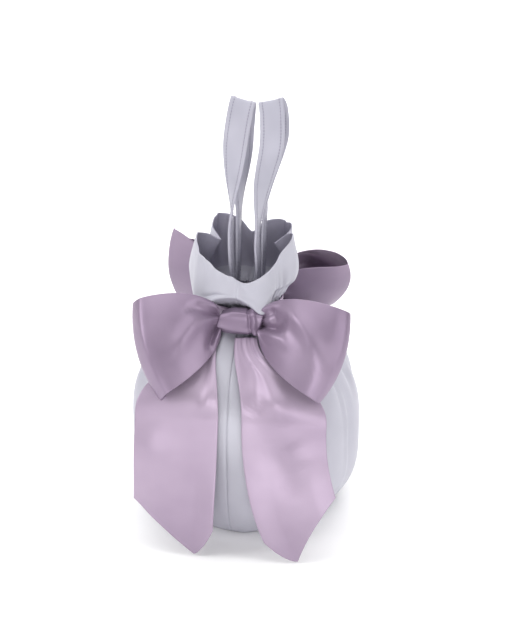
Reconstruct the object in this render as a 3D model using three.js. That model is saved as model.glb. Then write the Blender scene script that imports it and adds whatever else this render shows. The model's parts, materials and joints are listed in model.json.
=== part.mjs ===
// Satin flower girl basket: a soft pouch bag with a gathered neck, a standing ruffle collar,
// two strap handles, and a wide ribbon bow with two tails in front and behind.
// Units are millimetres, +Z is up, the front faces -Y, and the bag stands on z = 0.
import * as THREE from "three";
import { ParametricGeometry } from "three/addons/geometries/ParametricGeometry.js";
import { mergeVertices } from "three/addons/utils/BufferGeometryUtils.js";

const { clamp, lerp, smoothstep, degToRad } = THREE.MathUtils;
const vec = (x, y, z) => new THREE.Vector3(x, y, z);

// ---- Driving dimensions ----
const gap = 0.3; // clearance between neighbouring pieces

// Bag body
const baseRadius = 80;
const bellyRadius = 101;
const bellyLow = 47; // height where the belly starts
const bellyHigh = 85; // height where the shoulder starts
const neckRadius = 29;
const neckLow = 186; // lower edge of the gathered neck
const neckHigh = 195; // upper edge of the gathered neck
const panelWall = 1.2;
const curveEase = 0.65; // how far along each body curve its first control point lies
const shoulderHollow = 0.32; // how far the shoulder stays out before it turns up into the neck
const baseDepthRatio = 0.95; // front to back size of the base over its width
const baseSquareness = 1.55; // superellipse power of the base: 2 is round
const roundHeight = 60; // height from which the plan is round
const baseTurn = 8; // degrees that the base's front corner is turned to the right

// Inside
const baseEdgeInset = 2.4; // from the base's edge in to the base fabric
const baseLayerStep = 0.4; // each layer of the base is drawn in this much more
const baseFabricThickness = 1.2;
const boardThickness = 2.5;
const liningWall = 0.8;
const liningEase = 1.4; // slack between the lining and the panels
const elasticThickness = 1;
const elasticHeight = 5;

// Ruffle collar
const collarWall = 2;
const collarFlare = 21; // how far the collar bulges past the neck
const collarRimFlare = 15; // how far its rim stands past the neck
const collarSideHeight = 252;
const collarFrontHeight = 223;
const collarBackHeight = 247;
const collarDip = 1.5; // power by which the rim dips from the sides to the front and back
const collarBulgeHeight = 15; // height of the bulge over the neck

// Strap handles
const strapWidth = 20;
const strapEndWidth = 14;
const strapThickness = 1.8;
const strapToLining = 1;
const strapFootInset = 12.6; // from the lining's neck in to the middle of a leg, to each side
const strapTopGap = 3; // between the two handles' tops
const strapLegSpread = 40; // between a handle's front and back leg
const strapSewnHeight = 184;
const strapPivotHeight = 255;
const handleHeight = 366;
const handleOffset = 2; // both handles stand a little to the right
const handleLean = 8; // both tops lean to the right
const strapBow = { left: 2.5, right: 3.8 }; // how far a handle bows out sideways between foot and top
const strapTopTilt = 14; // degrees, the outer edge is the higher one
const strapTurned = 0.87; // share of the rise over which a strap turns from edge-on to flat

// Ribbon bows
const ribbonWidth = 70;
const ribbonThickness = 1.2;
const knotWidth = 38;
const knotHeight = 24;
const knotDepth = 19;
const knotSquareness = 0.6; // power under 1 squares the knot's ellipsoid
const knotToLoop = 2.4; // from the knot's side to the middle of a loop's gathered end
const knotCentreHeight = 188;
const bandHeight = 6;
const bandSlack = 2.4; // between the gathered neck's sides and the band
const knotEase = 4.5; // how far a knot's centre stands out past the shoulder at its lower edge
const tailHingeHeight = 122;
const tailHingeInset = 1; // the hinge line lies this far inside the belly's reach
const tailFlare = 18; // how far a tail's lower end stands out past its hinge
const tailEndHeight = 1.5; // lowest corner of a tail
const tailCutRise = 44; // from the point up to the outer corner of the slanted cut
const tailInnerRise = 26; // from the point up to the end of the straight inner edge
const tailPointPlace = 0.76; // the point's place across the tail, from the outer edge
const hingeGap = 1.1; // half the slit between a fixed and a swinging stretch
const loopFrontBulge = 24; // how far a loop's front layer rounds out
const loopBackBulge = 3;
const loopLift = 10; // from the body out to the middle of a loop's two layers
const loopLiftSwing = 2.5; // how much further out the front layer lies than the middle
const loopOpening = 0.8; // power by which a loop widens from the knot to its fold
const tailStartHalf = 8; // half the width of a tail's gathered top
const tailDrop = 6; // from the knot's lower edge down to a tail's top
const tailLift = 3; // from the shoulder out to a tail
const tailCurve = 1.2; // power by which a hanging tail stands out
const cutCurve = 1.5; // power of the curve from a tail's point to its inner edge

// ---- Materials ----
const satin = () => new THREE.MeshStandardMaterial({ color: 0xc9c9d2, roughness: 0.4 });
const liningCloth = () => new THREE.MeshStandardMaterial({ color: 0x8d8b99, roughness: 0.6 });
const ribbonSatin = () => new THREE.MeshStandardMaterial({ color: 0xa38cab, roughness: 0.35 });
const card = () => new THREE.MeshStandardMaterial({ color: 0xb9b2a4, roughness: 0.9 });
const rubber = () => new THREE.MeshStandardMaterial({ color: 0xe8e8e8, roughness: 0.8 });

// ---- Geometry helpers ----

// Turns a geometry's triangles round if they face inwards.
function facingOut(geometry) {
  geometry.deleteAttribute("normal");
  geometry.deleteAttribute("uv");
  const merged = mergeVertices(geometry, 1e-3);
  const corners = [vec(), vec(), vec()];
  let volume = 0;
  for (let i = 0; i < merged.index.count; i += 3) {
    corners.forEach((corner, k) =>
      corner.fromBufferAttribute(merged.attributes.position, merged.index.getX(i + k)));
    volume += corners[0].dot(corners[1].clone().cross(corners[2]));
  }
  if (volume < 0) merged.index.array.reverse();
  merged.computeVertexNormals();
  return merged;
}

// A closed solid between two faces, each a function of s along and w across, both from 0 to 1.
function slab(outer, inner, lengthSteps, widthSteps) {
  const ring = 2 * (widthSteps + 1);
  const rows = lengthSteps + 2; // a flat cap closes each end
  const place = (u, v, target) => {
    const i = Math.round(u * ring) % ring;
    const j = Math.round(v * rows);
    const s = clamp((j - 1) / lengthSteps, 0, 1);
    const isOuter = i <= widthSteps;
    const w = (isOuter ? i : ring - 1 - i) / widthSteps;
    if (j === 0 || j === rows) target.addVectors(outer(s, w), inner(s, w)).multiplyScalar(0.5);
    else target.copy(isOuter ? outer(s, w) : inner(s, w));
  };
  return facingOut(new ParametricGeometry(place, ring, rows));
}

// A sheet of even thickness round a middle surface.
function sheet(middle, thickness, lengthSteps, widthSteps) {
  const step = 1e-3;
  const face = (side) => (s, w) => {
    const low = [Math.max(s - step, 0), Math.max(w - step, 0)];
    const high = [Math.min(s + step, 1), Math.min(w + step, 1)];
    const along = middle(high[0], w).sub(middle(low[0], w));
    const across = middle(s, high[1]).sub(middle(s, low[1]));
    const normal = along.cross(across).normalize();
    return middle(s, w).addScaledVector(normal, (side * thickness) / 2);
  };
  return slab(face(1), face(-1), lengthSteps, widthSteps);
}

// ---- Body profile: base curve, belly, shoulder and neck, as radius (x) and height (y) ----
const profile = new THREE.CurvePath();
profile.add(new THREE.CubicBezierCurve(
  new THREE.Vector2(baseRadius, 0),
  new THREE.Vector2(lerp(baseRadius, bellyRadius, curveEase), 0.2 * bellyLow),
  new THREE.Vector2(bellyRadius, 0.6 * bellyLow),
  new THREE.Vector2(bellyRadius, bellyLow)));
profile.add(new THREE.LineCurve(
  new THREE.Vector2(bellyRadius, bellyLow),
  new THREE.Vector2(bellyRadius, bellyHigh)));
profile.add(new THREE.CubicBezierCurve(
  new THREE.Vector2(bellyRadius, bellyHigh),
  new THREE.Vector2(bellyRadius, lerp(bellyHigh, neckLow, curveEase)),
  new THREE.Vector2(lerp(neckRadius, bellyRadius, shoulderHollow), lerp(bellyHigh, neckLow, 0.8)),
  new THREE.Vector2(neckRadius, neckLow)));
profile.add(new THREE.LineCurve(
  new THREE.Vector2(neckRadius, neckLow),
  new THREE.Vector2(neckRadius, neckHigh)));

// The plan's radius over the profile's, at an angle from +X: a soft diamond low down, round above.
function planFactor(seamAngle, height) {
  const angle = seamAngle - degToRad(baseTurn);
  const round = smoothstep(height, 0, roundHeight);
  const power = lerp(baseSquareness, 2, round);
  const depth = lerp(baseDepthRatio, 1, round);
  const across = Math.abs(Math.cos(angle)) ** power;
  const deep = Math.abs(Math.sin(angle) / depth) ** power;
  return (across + deep) ** (-1 / power);
}

// The profile point t, moved in from the outer face.
function profilePoint(t, inset) {
  const tangent = profile.getTangent(t);
  const point = profile.getPoint(t);
  return new THREE.Vector2(point.x - tangent.y * inset, point.y + tangent.x * inset);
}

// The profile's outer radius at a height.
const profileSteps = 240;
const profileTable = Array.from({ length: profileSteps + 1 }, (_, i) => profile.getPoint(i / profileSteps));
function radiusAt(height) {
  const above = profileTable.findIndex((point) => point.y >= height);
  if (above === 0) return baseRadius;
  if (above < 0) return neckRadius;
  const [low, high] = [profileTable[above - 1], profileTable[above]];
  return lerp(low.x, high.x, (height - low.y) / Math.max(high.y - low.y, 1e-6));
}

// Pushes a point out from the bag's axis until it clears the body by an offset.
function clearOfBody(point, offset) {
  const radius = Math.hypot(point.x, point.y);
  const least = radiusAt(clamp(point.z, 0, neckHigh)) + offset;
  if (radius >= least) return point;
  return vec((point.x * least) / radius, (point.y * least) / radius, point.z);
}

// ---- Bag body, lining and base ----

// One half of a shell of revolution-like form, between two insets from the outer face.
function halfShell(side, insetOut, insetIn, tStart, tEnd, lengthSteps, widthSteps) {
  const face = (inset) => (s, w) => {
    const t = lerp(tStart, tEnd, s);
    const insetHere = typeof inset === "function" ? inset(t) : inset;
    const { x: radius, y: height } = profilePoint(t, insetHere);
    const seam = gap / 2 / radius; // half of the slit between the two halves
    const quarter = Math.PI / 2;
    const angle = (side > 0 ? 0 : Math.PI) + lerp(-quarter + seam, quarter - seam, w);
    const reach = radius * planFactor(angle, height);
    return vec(reach * Math.cos(angle), reach * Math.sin(angle), height);
  };
  return slab(face(insetOut), face(insetIn), lengthSteps, widthSteps);
}

// A flat panel with the base's outline, drawn in from the body's edge.
function basePlate(inset, bottom, thickness) {
  const count = 48;
  const outline = Array.from({ length: count }, (_, i) => {
    const angle = (i / count) * 2 * Math.PI;
    const reach = (baseRadius - inset) * planFactor(angle, 0);
    return new THREE.Vector2(reach * Math.cos(angle), reach * Math.sin(angle));
  });
  const plate = new THREE.ExtrudeGeometry(new THREE.Shape(outline), {
    depth: thickness,
    bevelEnabled: false,
  });
  return facingOut(plate.translate(0, 0, bottom));
}

const boardBottom = baseFabricThickness + gap;
const liningBaseBottom = boardBottom + boardThickness + gap;
const liningBaseTop = liningBaseBottom + liningWall;
const liningStart = profileTable.findIndex((point) => point.y > liningBaseTop + panelWall) / profileSteps;

// The lining hangs close to the panels, and stands in at the neck to make room for the elastic.
const neckRoom = 2 * elasticThickness; // what the lining gives up to the elastic
const liningInset = (t) => panelWall + liningEase
  + neckRoom * smoothstep(profile.getPoint(t).y, neckLow - 2 * neckRadius / 3, neckLow);
const liningNeckRadius = neckRadius - panelWall - liningEase - neckRoom - liningWall;

function elasticRing() {
  const outer = neckRadius - panelWall - gap;
  const inner = outer - elasticThickness;
  const high = neckHigh - gap;
  const low = high - elasticHeight;
  const section = [[inner, low], [outer, low], [outer, high], [inner, high], [inner, low]];
  const ring = new THREE.LatheGeometry(section.map(([x, y]) => new THREE.Vector2(x, y)), 32);
  return facingOut(ring.rotateX(Math.PI / 2));
}

// ---- Ruffle collar ----
function collarHalf(side) {
  const low = neckHigh + gap;
  const bulge = neckRadius + collarFlare;
  const middle = (s, w) => {
    const seam = gap / 2 / neckRadius;
    const quarter = Math.PI / 2;
    const angle = (side > 0 ? 0 : Math.PI) + lerp(-quarter + seam, quarter - seam, w);
    const back = Math.sin(angle);
    const end = back < 0 ? collarFrontHeight : collarBackHeight;
    const rim = lerp(collarSideHeight, end, Math.abs(back) ** collarDip);
    const curve = new THREE.CubicBezierCurve(
      new THREE.Vector2(neckRadius - collarWall / 2, low + collarWall / 2),
      new THREE.Vector2(0.9 * bulge, low),
      new THREE.Vector2(bulge, low + collarBulgeHeight),
      new THREE.Vector2(neckRadius + collarRimFlare, rim));
    const { x: radius, y: height } = curve.getPoint(s);
    const trimmed = Math.sign(Math.cos(angle)) * Math.max(Math.abs(radius * Math.cos(angle)), gap / 2);
    return vec(trimmed, radius * Math.sin(angle), height);
  };
  return sheet(middle, collarWall, 8, 14);
}

// ---- Strap handles ----

// The centre line of one handle, from its front end in the neck over the top to its back end.
function strapPath(side) {
  const bow = side * (side < 0 ? strapBow.left : strapBow.right);
  const foot = side * (liningNeckRadius - strapFootInset) + handleOffset;
  const top = (side * (strapWidth + strapTopGap)) / 2 + handleOffset + handleLean;
  const spread = strapLegSpread / 2;
  const rise = handleHeight - strapPivotHeight;
  // Inside the neck a leg stands as far forward as the lining lets its corner go.
  const corner = Math.abs(foot) + strapThickness;
  const sewnReach = Math.sqrt((liningNeckRadius - strapToLining) ** 2 - corner ** 2) - strapEndWidth / 2;
  const front = [
    vec(foot, -sewnReach, strapSewnHeight),
    vec(foot, -sewnReach, neckHigh + collarWall),
    vec(foot, -lerp(sewnReach, spread, 0.6), lerp(neckHigh, strapPivotHeight, 0.55)),
    vec(foot, -spread, strapPivotHeight),
    vec(lerp(foot, top, 0.3) + 0.4 * bow, -spread, strapPivotHeight + 0.36 * rise),
    vec(lerp(foot, top, 0.8) + 1.2 * bow, -0.8 * spread, strapPivotHeight + 0.68 * rise),
    vec(top + 0.7 * bow, -0.48 * spread, strapPivotHeight + 0.9 * rise),
  ];
  const back = front.map((point) => vec(point.x, -point.y, point.z)).reverse();
  return new THREE.CatmullRomCurve3([...front, vec(top, 0, handleHeight), ...back], false, "centripetal");
}

// Where a handle's path crosses a height, on its front leg, as a path value from 0 to 0.5.
function pathValueAt(path, height) {
  let [low, high] = [0, 0.5];
  for (let i = 0; i < 30; i += 1) {
    const middle = (low + high) / 2;
    if (path.getPoint(middle).z < height) low = middle;
    else high = middle;
  }
  return low;
}

// A stretch of a handle's strap. Its width runs front to back at the foot and sideways at the top.
function strapStretch(side, from, to, lengthSteps) {
  const path = strapPath(side);
  const middle = (s, w) => {
    const t = lerp(from, to, s);
    const centre = path.getPoint(t);
    const turnEnd = lerp(strapPivotHeight, handleHeight, strapTurned);
    const turn = smoothstep(centre.z, strapPivotHeight + 2 * hingeGap, turnEnd);
    const width = lerp(strapEndWidth, strapWidth, smoothstep(centre.z, strapSewnHeight, strapPivotHeight));
    const twist = (1 - turn) * (Math.PI / 2) * side * (t < 0.5 ? 1 : -1);
    const tilt = turn * degToRad(strapTopTilt) * side;
    const across = vec(Math.cos(twist) * Math.cos(tilt), Math.sin(twist), Math.cos(twist) * Math.sin(tilt));
    return centre.addScaledVector(across.normalize(), (w - 0.5) * width);
  };
  return sheet(middle, strapThickness, lengthSteps, 1);
}

// ---- Ribbon bows, built facing the front ----

// From the axis to a knot's centre, to the band's front, and to a tail's hinge line. The knots pull
// the band out of round.
const knotReach = radiusAt(knotCentreHeight - knotHeight / 2) + knotEase;
const bandFrontReach = knotReach - knotDepth / 2 - gap;
const tailHingeReach = bellyRadius - tailHingeInset;

function knotSolid() {
  const squared = (value) => Math.sign(value) * Math.abs(value) ** knotSquareness;
  const steps = 14;
  const place = (u, v, target) => {
    const around = Math.round(u * steps) / steps * 2 * Math.PI;
    const along = (Math.round(v * steps) / steps - 0.5) * Math.PI;
    const waist = Math.max(Math.cos(along), 0) ** knotSquareness;
    const [c, s] = [Math.cos(around), Math.sin(around)];
    target.set(
      (squared(Math.sin(along)) * knotWidth) / 2,
      -knotReach + (s * waist * knotDepth) / 2,
      knotCentreHeight + (c * waist * knotHeight) / 2);
  };
  return facingOut(new ParametricGeometry(place, steps, steps));
}

// A bow loop: out from the knot in front, round the outer fold and back behind.
// The fold runs from its top corner to its bottom corner.
function bowLoop(side, top, bottom) {
  const start = vec(side * (knotWidth / 2 + knotToLoop), -knotReach, knotCentreHeight);
  const halfFold = top.clone().sub(bottom).multiplyScalar(0.5);
  const foldCentre = bottom.clone().add(halfFold);
  const outward = foldCentre.clone().sub(start).cross(halfFold).normalize();
  if (outward.y > 0) outward.negate();
  const middle = (s, w) => {
    const turn = 2 * Math.PI * s;
    const out = (1 - Math.cos(turn)) / 2;
    const halfWidth = vec(0, 0, knotHeight / 2 - 2).lerp(halfFold, out ** loopOpening);
    const bulge = Math.sin(turn) * (s < 0.5 ? loopFrontBulge : loopBackBulge) * out ** 0.2;
    const parted = (0.5 - s) * 4 * ribbonThickness;
    const point = start.clone().lerp(foldCentre, out)
      .addScaledVector(halfWidth, 2 * w - 1)
      .addScaledVector(outward, bulge + parted);
    return clearOfBody(point, loopLift + loopLiftSwing * Math.cos(Math.PI * s));
  };
  return sheet(middle, ribbonThickness, 22, 4);
}

// The part of a tail that lies on the shoulder, from under the knot down to the hinge line.
function tailUpper(startX, hingeX) {
  const top = knotCentreHeight - knotHeight / 2 - tailDrop;
  const bottom = tailHingeHeight + hingeGap;
  const middle = (s, w) => {
    const height = lerp(top, bottom, s);
    const spread = smoothstep(s, 0, 0.9);
    const half = lerp(tailStartHalf, ribbonWidth / 2, spread);
    const x = lerp(startX, hingeX, spread) + (2 * w - 1) * half;
    const reach = lerp(knotReach + tailLift, tailHingeReach, s);
    return clearOfBody(vec(x, -reach, height), tailLift);
  };
  return sheet(middle, ribbonThickness, 10, 6);
}

// The height that a tail's end cut adds at a place across it, from 0 at the outer edge to 1 at the
// inner one: a slanted cut down to the point, and a shorter curve back up to the inner edge.
function cutRise(inner) {
  if (inner < tailPointPlace) return lerp(tailCutRise, 0, inner / tailPointPlace);
  return tailInnerRise * ((inner - tailPointPlace) / (1 - tailPointPlace)) ** cutCurve;
}

// The swinging part of a tail, which hangs clear of the belly. Its centre line is an arc in the
// hanging plane that turns outwards by the sweep angle, in degrees, over its whole length.
function tailLower(side, hingeX, sweep) {
  const top = tailHingeHeight - hingeGap;
  const bend = Math.max(degToRad(sweep), 1e-3);
  const pointReach = (tailPointPlace - 0.5) * ribbonWidth;
  const length = ((top - tailEndHeight - pointReach * Math.sin(bend)) * bend) / Math.sin(bend);
  const middle = (s, w) => {
    const inner = side < 0 ? w : 1 - w; // 1 at the edge nearer the bag's middle
    const run = s * (1 - cutRise(inner) / length);
    const turned = bend * run;
    const across = (0.5 - inner) * ribbonWidth;
    const out = (length * (1 - Math.cos(turned))) / bend + across * Math.cos(turned);
    const down = (length * Math.sin(turned)) / bend - across * Math.sin(turned);
    return vec(hingeX + side * out, -tailHingeReach - tailFlare * run ** tailCurve, top - down);
  };
  return sheet(middle, ribbonThickness, 10, 8);
}

function neckBand() {
  const middle = (neckLow + neckHigh) / 2 + 1;
  const sideReach = neckRadius + bandSlack + ribbonThickness;
  const outline = new THREE.Shape().absellipse(0, 0, sideReach, bandFrontReach, 0, 2 * Math.PI);
  outline.holes.push(new THREE.Path().absellipse(
    0, 0, sideReach - ribbonThickness, bandFrontReach - ribbonThickness, 0, 2 * Math.PI));
  const band = new THREE.ExtrudeGeometry(outline, {
    depth: bandHeight,
    bevelEnabled: false,
    curveSegments: 20,
  });
  return facingOut(band.translate(0, 0, middle - bandHeight / 2));
}

// ---- Assembly ----
const bag = new THREE.Group();

function add(name, geometry, material, parent = bag) {
  const mesh = new THREE.Mesh(geometry, material);
  mesh.name = name;
  parent.add(mesh);
}

const sides = [["left", -1], ["right", 1]];

add("base_fabric", basePlate(baseEdgeInset, 0, baseFabricThickness), satin());
add("base_board", basePlate(baseEdgeInset + baseLayerStep, boardBottom, boardThickness), card());
add("lining_base",
  basePlate(baseEdgeInset + 2 * baseLayerStep, liningBaseBottom, liningWall),
  liningCloth());
for (const [word, side] of sides) {
  add(`outer_panel_${word}`, halfShell(side, 0, panelWall, 0, 1, 20, 14), satin());
  add(`lining_${word}`,
    halfShell(side, liningInset, (t) => liningInset(t) + liningWall, liningStart, 1, 26, 12),
    liningCloth());
  add(`collar_${word}`, collarHalf(side), satin());

  const path = strapPath(side);
  const endTop = pathValueAt(path, strapPivotHeight - hingeGap);
  const loopStart = pathValueAt(path, strapPivotHeight + hingeGap);
  add(`handle_${word}_front_end`, strapStretch(side, 0, endTop, 6), satin());
  add(`handle_${word}_loop`, strapStretch(side, loopStart, 1 - loopStart, 40), satin());
  add(`handle_${word}_back_end`, strapStretch(side, 1 - endTop, 1, 6), satin());
}
add("neck_elastic", elasticRing(), rubber());
add("neck_band", neckBand(), ribbonSatin());

// Each bow faces the front of its own group, and the back group is turned half round.
// A loop's fold is given by its top corner past the knot and its bottom corner past the tails'
// hinge line, each as sideways place, reach and height. A tail is given by the sideways places of
// its top and of its hinge, and by its sweep.
const foldTop = (x, past, z) => vec(x, -knotReach - past, z);
const foldBottom = (x, past, z) => vec(x, -tailHingeReach - past, z);
const bows = {
  front: {
    turn: 0,
    left: { top: foldTop(-86, 13, 203), bottom: foldBottom(-54, 4, 137), tail: [-25, -42, 2] },
    right: { top: foldTop(96, 13, 206), bottom: foldBottom(76, 0, 142), tail: [9, 46, 28] },
  },
  back: {
    turn: Math.PI,
    left: { top: foldTop(-83, 9, 209), bottom: foldBottom(-68, -8, 157), tail: [-10, -44, 12] },
    right: { top: foldTop(74, 9, 223), bottom: foldBottom(80, -12, 158), tail: [10, 44, 8] },
  },
};
for (const [place, bow] of Object.entries(bows)) {
  const group = new THREE.Group();
  group.rotation.z = bow.turn;
  bag.add(group);
  add(`${place}_bow_knot`, knotSolid(), ribbonSatin(), group);
  for (const [word, side] of sides) {
    const { top, bottom, tail: [startX, hingeX, sweep] } = bow[word];
    // Left and right are the bag's own, seen from the front.
    const label = bow.turn === 0 ? word : { left: "right", right: "left" }[word];
    add(`${place}_bow_loop_${label}`, bowLoop(side, top, bottom), ribbonSatin(), group);
    add(`${place}_tail_${label}_upper`, tailUpper(startX, hingeX), ribbonSatin(), group);
    add(`${place}_tail_${label}`, tailLower(side, hingeX, sweep), ribbonSatin(), group);
  }
}

export default bag;
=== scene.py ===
"""Satin flower girl basket: the visible cloth, ribbons and straps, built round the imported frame.

Lengths in this script are in millimetres and meshes are made in metres. The front is -Y.
"""
import json
import math

import bmesh
import bpy
import numpy as np
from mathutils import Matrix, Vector


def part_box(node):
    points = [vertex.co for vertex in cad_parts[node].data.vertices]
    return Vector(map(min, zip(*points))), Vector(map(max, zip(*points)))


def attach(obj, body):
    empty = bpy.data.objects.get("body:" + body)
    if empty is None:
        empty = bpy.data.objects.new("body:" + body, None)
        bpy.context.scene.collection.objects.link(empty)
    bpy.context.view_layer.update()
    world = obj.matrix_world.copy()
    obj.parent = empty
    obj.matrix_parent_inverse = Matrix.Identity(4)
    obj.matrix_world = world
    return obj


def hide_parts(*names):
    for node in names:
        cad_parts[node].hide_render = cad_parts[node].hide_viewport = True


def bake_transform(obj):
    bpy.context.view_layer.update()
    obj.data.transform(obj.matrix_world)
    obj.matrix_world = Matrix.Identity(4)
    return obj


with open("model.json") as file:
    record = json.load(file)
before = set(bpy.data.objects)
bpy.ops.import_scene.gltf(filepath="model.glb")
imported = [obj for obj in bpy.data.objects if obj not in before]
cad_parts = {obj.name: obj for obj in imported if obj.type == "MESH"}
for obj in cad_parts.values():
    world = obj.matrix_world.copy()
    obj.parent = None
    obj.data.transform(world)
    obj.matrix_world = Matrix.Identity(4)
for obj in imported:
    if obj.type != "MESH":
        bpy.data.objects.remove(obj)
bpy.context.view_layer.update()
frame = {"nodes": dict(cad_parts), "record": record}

MM = 0.001


def corner(node, high):
    """The lowest or highest corner of a CAD node, in millimetres."""
    return np.array(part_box(node)[1 if high else 0]) / MM


def joint_place(name):
    """A joint's point, in millimetres."""
    joint = next(j for j in frame["record"]["behaviour"]["joints"] if j["name"] == name)
    return np.array(joint["pos_m"]) / MM


# ---- Sizes that the frame gives ----
PANEL_WALL = 1.2
BELLY = corner("outer_panel_right", True)[0]
NECK_TOP = corner("outer_panel_right", True)[2]
NECK = corner("neck_elastic", True)[0] + 1.5
NECK_LOW = NECK_TOP - 9
BASE = corner("base_fabric", True)[0] + 2.4
BELLY_LOW = 47
BELLY_HIGH = 85
KNOT_LOW = corner("front_bow_knot", False)
KNOT_HIGH = corner("front_bow_knot", True)
KNOT_REACH = -(KNOT_LOW[1] + KNOT_HIGH[1]) / 2
KNOT_HEIGHT = (KNOT_LOW[2] + KNOT_HIGH[2]) / 2
HANDLE_TOP = corner("handle_left_loop", True)[2] - 3.3
HINGE = -joint_place("front_tail_left_lift")
HINGE_HEIGHT = -HINGE[2]
HINGE_REACH = HINGE[1]
TAIL_END = corner("front_tail_left", False)[2]
RIBBON = 70.0

# ---- Sizes shared with the CAD's source ----
CURVE_EASE = 0.65  # how far along each body curve its first control point lies
SHOULDER_HOLLOW = 0.32
BASE_TURN = math.radians(8)
ROUND_HEIGHT = 60  # the plan is round from here up
BASE_SQUARENESS = 1.55
BASE_DEPTH = 0.95
STRAP_WIDTH = 20.0
STRAP_END_WIDTH = 14
STRAP_SEWN = 184  # height at which the straps' feet are sewn in
STRAP_LEAN = 8
STRAP_TURNED = 0.87  # share of the rise over which a strap turns flat
STRAP_TILT = math.radians(14)


def ease(x, low=0.0, high=1.0):
    """0 below low, 1 above high, and a smooth step between."""
    t = np.clip((np.asarray(x, float) - low) / (high - low), 0, 1)
    return t * t * (3 - 2 * t)


def mix(a, b, t):
    return a + (b - a) * t


def bump(x, centre, width):
    """A smooth hill of height 1."""
    return np.exp(-(((x - centre) / width) ** 2))


def bezier(points, t):
    a, b, c, d = (np.asarray(p, float) for p in points)
    t = np.asarray(t, float)[..., None]
    return a * (1 - t) ** 3 + 3 * b * t * (1 - t) ** 2 + 3 * c * t * t * (1 - t) + d * t ** 3


def unit(v):
    return v / np.maximum(np.linalg.norm(v, axis=-1, keepdims=True), 1e-9)


# ---- Meshes ----
def grid_normals(points):
    along = np.gradient(points, axis=0)
    across = np.gradient(points, axis=1)
    return unit(np.cross(along, across))


def cloth(name, points, thickness, material, flip=False):
    """A closed mesh round a middle surface, a grid of points in millimetres, with rounded rims."""
    rows, columns = points.shape[:2]
    normal = grid_normals(points) * (-1 if flip else 1)
    half = thickness / 2
    front, back = points + normal * half, points - normal * half

    def rim(edge, inside):
        return edge + unit(edge - inside) * half * 0.8

    border = [(0, j) for j in range(columns)]
    border += [(i, columns - 1) for i in range(1, rows)]
    border += [(rows - 1, j) for j in range(columns - 2, -1, -1)]
    border += [(i, 0) for i in range(rows - 2, 0, -1)]
    inner = [(min(max(i, 1), rows - 2), min(max(j, 1), columns - 2)) for i, j in border]
    edge = np.array([rim(points[b], points[n]) for b, n in zip(border, inner)])
    count = rows * columns
    vertices = np.concatenate([front.reshape(-1, 3), back.reshape(-1, 3), edge]) * MM
    index = np.arange(count).reshape(rows, columns)
    quads = np.stack([index[:-1, :-1], index[1:, :-1], index[1:, 1:], index[:-1, 1:]], -1).reshape(-1, 4)
    faces = quads.tolist() + (quads[:, ::-1] + count).tolist()
    total = len(border)
    for k, (b, n) in enumerate(zip(border, border[1:] + border[:1])):
        top, top_next = index[b], index[n]
        mid, mid_next = 2 * count + k, 2 * count + (k + 1) % total
        faces.append([top, top_next, mid_next, mid])
        faces.append([mid, mid_next, top_next + count, top + count])
    if flip:
        faces = [face[::-1] for face in faces]
    mesh = bpy.data.meshes.new(name)
    mesh.from_pydata(vertices.tolist(), [], faces)
    size_along = np.cumsum(np.linalg.norm(np.diff(points, axis=0), axis=2).mean(1))
    size_across = np.cumsum(np.linalg.norm(np.diff(points, axis=1), axis=2).mean(0))
    v = np.concatenate([[0], size_along])[:, None].repeat(columns, 1).reshape(-1)
    u = np.concatenate([[0], size_across])[None, :].repeat(rows, 0).reshape(-1)
    flat = np.stack([u, v], -1) * MM
    flat_all = np.concatenate([flat, flat, np.array([flat[index[b]] for b in border])])
    layer = mesh.uv_layers.new(name="cut")
    corners = np.empty(len(mesh.loops), int)
    mesh.loops.foreach_get("vertex_index", corners)
    layer.data.foreach_set("uv", flat_all[corners].astype(np.float32).ravel())
    mesh.polygons.foreach_set("use_smooth", [True] * len(mesh.polygons))
    mesh.materials.append(material)
    mesh.validate()
    piece = bpy.data.objects.new(name, mesh)
    bpy.context.scene.collection.objects.link(piece)
    return piece


def grid(rows, columns):
    return np.meshgrid(np.linspace(0, 1, rows), np.linspace(0, 1, columns), indexing="ij")


def soften(points, passes):
    """Evens out kinks along a grid's rows, keeping its ends."""
    for _ in range(passes):
        points[1:-1] = (points[:-2] + 2 * points[1:-1] + points[2:]) / 4
    return points


# ---- Materials ----
def linear(red, green, blue):
    """A colour given in 0 to 255 as it shows on a screen."""
    def channel(c):
        c /= 255
        return c / 12.92 if c <= 0.04045 else ((c + 0.055) / 1.055) ** 2.4
    return (channel(red), channel(green), channel(blue), 1.0)


def new_material(name):
    material = bpy.data.materials.new(name)
    material.use_nodes = True
    nodes, links = material.node_tree.nodes, material.node_tree.links
    return material, nodes, links, nodes["Principled BSDF"]


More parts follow.
